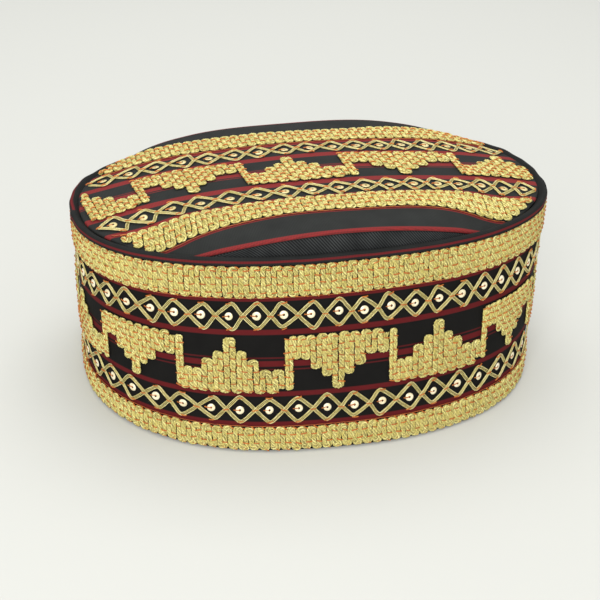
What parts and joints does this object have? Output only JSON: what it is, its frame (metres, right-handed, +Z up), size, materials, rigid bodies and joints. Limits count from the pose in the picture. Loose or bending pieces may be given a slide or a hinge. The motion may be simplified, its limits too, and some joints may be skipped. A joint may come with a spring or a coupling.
{
  "type": "songkok",
  "caption": "Oval brimless cloth cap with a stiff wall, an arched crown with fold ridges, a bound rim, and couched gold bands, stepped figures and braid diamonds.",
  "frame": {"origin": "on the ground under the middle of the cap, at the open underside", "axes": "+X along the long axis of the oval towards the end whose rim stands higher, +Y across it towards the back of the pictured side, +Z up"},
  "size_m": [0.21, 0.1636, 0.092],
  "materials": {
    "black_cloth": "matte woven black cotton with dark red stripes",
    "crown_cloth": "matte woven black cotton, slightly greyed, with red stripes",
    "binding_cloth": "matte folded black cotton with one red stripe",
    "twill_cloth": "black diagonal twill with a low sheen",
    "gold_couching": "couched metallic gold cord with orange tying stitches",
    "gold_braid": "flat metallic gold braid"
  },
  "bodies": {
    "root": {"side_band": "black_cloth", "top_rim": "binding_cloth", "crown_panel": "crown_cloth", "gusset_front": "twill_cloth", "gusset_back": "twill_cloth", "gold_band_base": "gold_couching", "gold_band_top": "gold_couching", "wall_step_01": "gold_couching", "wall_step_02": "gold_couching", "wall_step_03": "gold_couching", "wall_step_04": "gold_couching", "wall_step_05": "gold_couching", "wall_step_06": "gold_couching", "wall_step_07": "gold_couching", "wall_step_08": "gold_couching", "wall_step_09": "gold_couching", "wall_step_10": "gold_couching", "wall_step_11": "gold_couching", "wall_step_12": "gold_couching", "wall_step_13": "gold_couching", "wall_step_14": "gold_couching", "wall_lattice_lower": "gold_braid", "wall_lattice_upper": "gold_braid", "crown_band_front": "gold_couching", "crown_band_back": "gold_couching", "crown_step_1": "gold_couching", "crown_step_2": "gold_couching", "crown_step_3": "gold_couching", "crown_step_4": "gold_couching", "crown_step_5": "gold_couching", "crown_lattice_front": "gold_braid", "crown_lattice_back": "gold_braid"}
  },
  "joints": []
}
